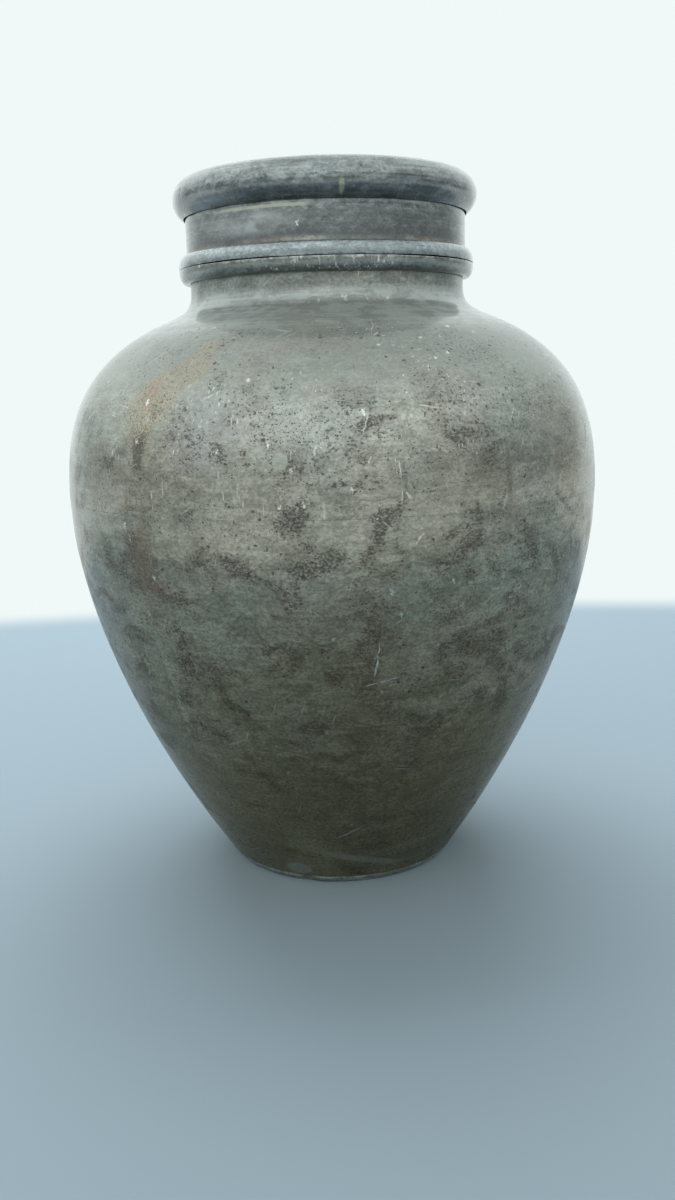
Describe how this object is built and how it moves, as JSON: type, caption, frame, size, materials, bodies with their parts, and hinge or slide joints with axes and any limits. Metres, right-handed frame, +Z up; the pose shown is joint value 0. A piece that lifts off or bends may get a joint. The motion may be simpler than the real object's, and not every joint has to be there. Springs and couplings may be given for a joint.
{
  "type": "tin tea jar",
  "caption": "High-shouldered turned tin tea jar with a flanged neck, a lift-off beaded cap lid and an inner plug lid with a knob.",
  "frame": {"origin": "centre of the foot, on the surface the jar stands on", "axes": "+Z up along the jar's turning axis; the jar is round, so +X and +Y are free"},
  "size_m": [0.1756, 0.1756, 0.2275],
  "materials": {
    "body_tin": "grey-green aged tin with brown stains and fine dark pits",
    "foot_tin": "worn tin, paler along the rim",
    "neck_tin": "olive-grey turned tin with bright nicks",
    "lid_tin": "dark blue-grey aged tin, rubbed paler on top",
    "bright_tin": "cleaner satin tin with turning lines"
  },
  "bodies": {
    "jar": {"base_plate": "foot_tin", "lower_body": "body_tin", "upper_body": "body_tin", "neck_flange": "neck_tin", "mouth_collar": "bright_tin"},
    "inner_lid": {"inner_lid_plate": "bright_tin", "inner_lid_skirt": "bright_tin", "inner_lid_knob": "bright_tin"},
    "outer_lid": {"lid_lip_ring": "lid_tin", "lid_band": "lid_tin", "lid_rim_bead": "lid_tin", "lid_top_plate": "lid_tin"}
  },
  "joints": [
    {"name": "inner_lid_lift", "type": "slide", "parent": "jar", "child": "inner_lid", "axis": [0, 0, 1], "range_m": [0, 0.05]},
    {"name": "outer_lid_lift", "type": "slide", "parent": "inner_lid", "child": "outer_lid", "axis": [0, 0, 1], "range_m": [0, 0.08]}
  ]
}
